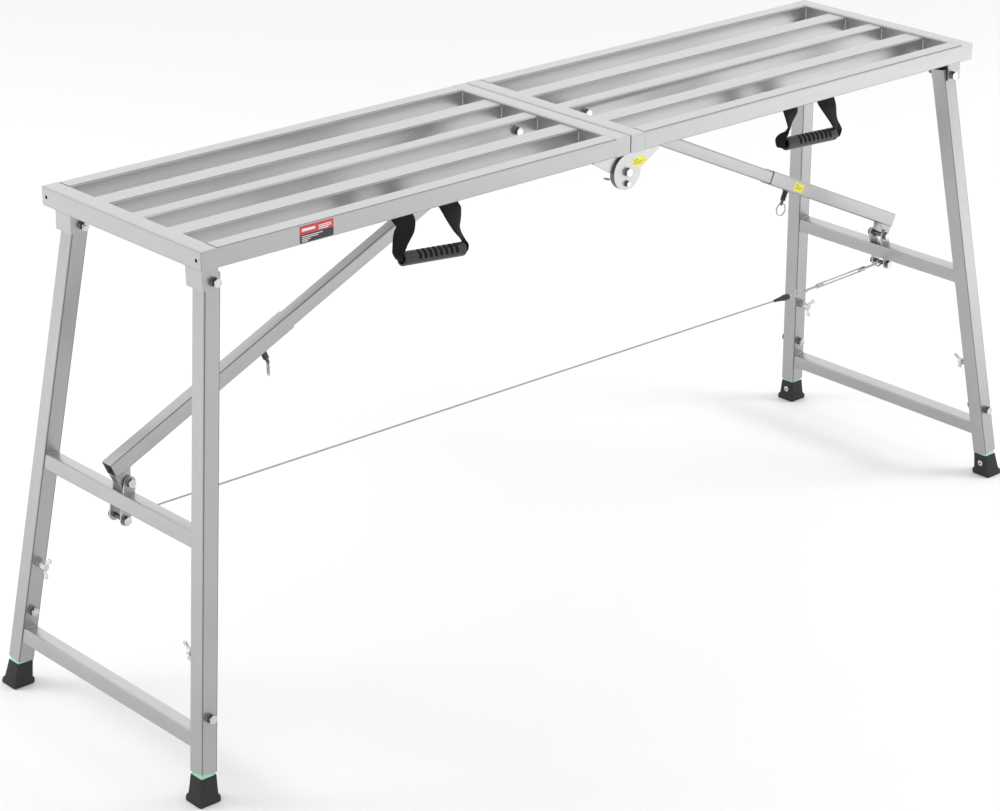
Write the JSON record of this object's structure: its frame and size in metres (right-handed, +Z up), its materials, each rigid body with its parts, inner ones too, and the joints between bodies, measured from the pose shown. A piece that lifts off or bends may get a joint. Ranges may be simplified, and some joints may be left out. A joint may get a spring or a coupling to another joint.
{
  "type": "folding work platform",
  "caption": "Silver steel folding sawhorse bench with a slatted deck, hinged middle, splayed leg frames, braces, a spread cable and carrying straps.",
  "frame": {"origin": "on the floor under the middle of the deck", "axes": "+Z up, +X along the deck towards the end with the turnbuckle, -Y towards the side with the carrying handles"},
  "size_m": [1.8214, 0.5252, 0.815],
  "materials": {
    "frame_steel": "satin silver coat over welded square tube",
    "zinc_hardware": "bright zinc plate",
    "inner_leg_paint": "satin mint green paint",
    "rubber_feet": "matte moulded rubber",
    "strap_webbing": "woven black webbing",
    "grip_plastic": "satin moulded plastic with grooves",
    "cable_steel": "stranded steel wire"
  },
  "bodies": {
    "deck_left": {"end_tube_left": "frame_steel", "center_tube_left": "frame_steel", "brace_channel_left": "frame_steel", "brace_top_bolt_left": "zinc_hardware", "rail_left_front": "frame_steel", "slat_left_front": "frame_steel", "hinge_plate_left_front": "frame_steel", "leg_pivot_bolt_left_front": "zinc_hardware", "rail_left_rear": "frame_steel", "slat_left_rear": "frame_steel", "hinge_plate_left_rear": "frame_steel", "leg_pivot_bolt_left_rear": "zinc_hardware", "hinge_pivot_bolt_front": "zinc_hardware", "hinge_pivot_bolt_rear": "zinc_hardware"},
    "deck_right": {"end_tube_right": "frame_steel", "center_tube_right": "frame_steel", "brace_channel_right": "frame_steel", "brace_top_bolt_right": "zinc_hardware", "rail_right_front": "frame_steel", "slat_right_front": "frame_steel", "hinge_plate_right_front": "frame_steel", "leg_pivot_bolt_right_front": "zinc_hardware", "rail_right_rear": "frame_steel", "slat_right_rear": "frame_steel", "hinge_plate_right_rear": "frame_steel", "leg_pivot_bolt_right_rear": "zinc_hardware"},
    "leg_frame_left": {"outer_leg_left_front": "frame_steel", "outer_leg_left_rear": "frame_steel", "crossbar_upper_left": "frame_steel", "crossbar_lower_left": "frame_steel"},
    "brace_left": {"brace_slider_left": "frame_steel"},
    "sleeve_left": {"brace_sleeve_left": "frame_steel"},
    "pin_left": {"pull_pin_left": "zinc_hardware"},
    "inner_leg_left_front": {"inner_leg_left_front": "inner_leg_paint", "foot_left_front": "rubber_feet"},
    "wing_bolt_left_front": {"leg_wing_bolt_left_front": "zinc_hardware"},
    "inner_leg_left_rear": {"inner_leg_left_rear": "inner_leg_paint", "foot_left_rear": "rubber_feet"},
    "wing_bolt_left_rear": {"leg_wing_bolt_left_rear": "zinc_hardware"},
    "leg_frame_right": {"outer_leg_right_front": "frame_steel", "outer_leg_right_rear": "frame_steel", "crossbar_upper_right": "frame_steel", "crossbar_lower_right": "frame_steel"},
    "brace_right": {"brace_slider_right": "frame_steel"},
    "sleeve_right": {"brace_sleeve_right": "frame_steel"},
    "pin_right": {"pull_pin_right": "zinc_hardware"},
    "inner_leg_right_front": {"inner_leg_right_front": "inner_leg_paint", "foot_right_front": "rubber_feet"},
    "wing_bolt_right_front": {"leg_wing_bolt_right_front": "zinc_hardware"},
    "inner_leg_right_rear": {"inner_leg_right_rear": "inner_leg_paint", "foot_right_rear": "rubber_feet"},
    "wing_bolt_right_rear": {"leg_wing_bolt_right_rear": "zinc_hardware"},
    "handle_left": {"handle_strap_left": "strap_webbing", "handle_grip_left": "grip_plastic"},
    "handle_right": {"handle_strap_right": "strap_webbing", "handle_grip_right": "grip_plastic"},
    "lock_bolt_front": {"hinge_lock_bolt_front": "zinc_hardware"},
    "lock_bolt_rear": {"hinge_lock_bolt_rear": "zinc_hardware"},
    "cable_line": {"cable": "cable_steel"},
    "turnbuckle_unit": {"turnbuckle": "zinc_hardware"}
  },
  "joints": [
    {"name": "deck_fold", "type": "hinge", "parent": "deck_left", "child": "deck_right", "pos_m": [0, 0, 0.754], "axis": [0, 1, 0], "range_deg": [0, 90], "deforming": ["cable"]},
    {"name": "leg_fold_left", "type": "hinge", "parent": "deck_left", "child": "leg_frame_left", "pos_m": [-0.792, 0, 0.76], "axis": [0, -1, 0], "range_deg": [0, 97.4], "deforming": ["handle_strap_left", "cable"]},
    {"name": "brace_swing_left", "type": "hinge", "parent": "deck_left", "child": "brace_left", "pos_m": [-0.075, 0, 0.796], "axis": [0, 1, 0], "range_deg": [0, 23.88]},
    {"name": "brace_slide_left", "type": "slide", "parent": "brace_left", "child": "sleeve_left", "axis": [0.9092, 0, 0.4163], "range_m": [0, 0.4853]},
    {"name": "pin_pull_left", "type": "slide", "parent": "sleeve_left", "child": "pin_left", "axis": [0.4163, 0, -0.9092], "range_m": [0, 0.008], "stiffness_N_per_m": 400, "springref_m": -0.004},
    {"name": "leg_extend_left_front", "type": "slide", "parent": "leg_frame_left", "child": "inner_leg_left_front", "axis": [0.129, 0.1069, 0.9859], "range_m": [-0.18, 0]},
    {"name": "wing_turn_left_front", "type": "hinge", "parent": "leg_frame_left", "child": "wing_bolt_left_front", "pos_m": [-0.86372, -0.19375, 0.21201], "axis": [-0.0139, 0.9943, -0.106], "continuous": true},
    {"name": "leg_extend_left_rear", "type": "slide", "parent": "leg_frame_left", "child": "inner_leg_left_rear", "axis": [0.129, -0.1069, 0.9859], "range_m": [-0.18, 0]},
    {"name": "wing_turn_left_rear", "type": "hinge", "parent": "leg_frame_left", "child": "wing_bolt_left_rear", "pos_m": [-0.86372, 0.19375, 0.21201], "axis": [-0.0139, -0.9943, -0.106], "continuous": true},
    {"name": "leg_fold_right", "type": "hinge", "parent": "deck_right", "child": "leg_frame_right", "pos_m": [0.792, 0, 0.76], "axis": [0, 1, 0], "range_deg": [0, 97.4], "deforming": ["handle_strap_right", "cable"]},
    {"name": "brace_swing_right", "type": "hinge", "parent": "deck_right", "child": "brace_right", "pos_m": [0.075, 0, 0.796], "axis": [0, -1, 0], "range_deg": [0, 23.88]},
    {"name": "brace_slide_right", "type": "slide", "parent": "brace_right", "child": "sleeve_right", "axis": [-0.9092, 0, 0.4163], "range_m": [0, 0.4853]},
    {"name": "pin_pull_right", "type": "slide", "parent": "sleeve_right", "child": "pin_right", "axis": [-0.4163, 0, -0.9092], "range_m": [0, 0.008], "stiffness_N_per_m": 400, "springref_m": -0.004},
    {"name": "leg_extend_right_front", "type": "slide", "parent": "leg_frame_right", "child": "inner_leg_right_front", "axis": [-0.129, 0.1069, 0.9859], "range_m": [-0.18, 0]},
    {"name": "wing_turn_right_front", "type": "hinge", "parent": "leg_frame_right", "child": "wing_bolt_right_front", "pos_m": [0.86372, -0.19375, 0.21201], "axis": [0.0139, 0.9943, -0.106], "continuous": true},
    {"name": "leg_extend_right_rear", "type": "slide", "parent": "leg_frame_right", "child": "inner_leg_right_rear", "axis": [-0.129, -0.1069, 0.9859], "range_m": [-0.18, 0]},
    {"name": "wing_turn_right_rear", "type": "hinge", "parent": "leg_frame_right", "child": "wing_bolt_right_rear", "pos_m": [0.86372, 0.19375, 0.21201], "axis": [0.0139, -0.9943, -0.106], "continuous": true},
    {"name": "handle_swing_left", "type": "hinge", "parent": "deck_left", "child": "handle_left", "pos_m": [-0.404, -0.18, 0.7815], "axis": [-1, 0, 0], "range_deg": [0, 90]},
    {"name": "handle_swing_right", "type": "hinge", "parent": "deck_right", "child": "handle_right", "pos_m": [0.4245, -0.18, 0.7815], "axis": [-1, 0, 0], "range_deg": [0, 90]},
    {"name": "lock_turn_front", "type": "hinge", "parent": "deck_right", "child": "lock_bolt_front", "pos_m": [0, -0.1893, 0.735], "axis": [0, -1, 0], "continuous": true},
    {"name": "lock_turn_rear", "type": "hinge", "parent": "deck_right", "child": "lock_bolt_rear", "pos_m": [0, 0.1893, 0.735], "axis": [0, 1, 0], "continuous": true},
    {"name": "cable_turn", "type": "hinge", "parent": "leg_frame_left", "child": "cable_line", "pos_m": [-0.84794, 0, 0.35563], "axis": [0, 1, 0], "range_deg": [0, 97.5]},
    {"name": "turnbuckle_turn", "type": "hinge", "parent": "leg_frame_right", "child": "turnbuckle_unit", "pos_m": [0.84794, 0, 0.35563], "axis": [0, -1, 0], "range_deg": [0, 97.5]}
  ],
  "couplings": [
    {"joint": "brace_swing_left", "follows": "leg_fold_left", "ratio": 0.24465},
    {"joint": "brace_slide_left", "follows": "leg_fold_left", "m_per_rad": 0.28517},
    {"joint": "brace_swing_right", "follows": "leg_fold_right", "ratio": 0.24465},
    {"joint": "brace_slide_right", "follows": "leg_fold_right", "m_per_rad": 0.28517},
    {"joint": "cable_turn", "follows": "leg_fold_left", "ratio": 1},
    {"joint": "turnbuckle_turn", "follows": "leg_fold_right", "ratio": 1}
  ]
}
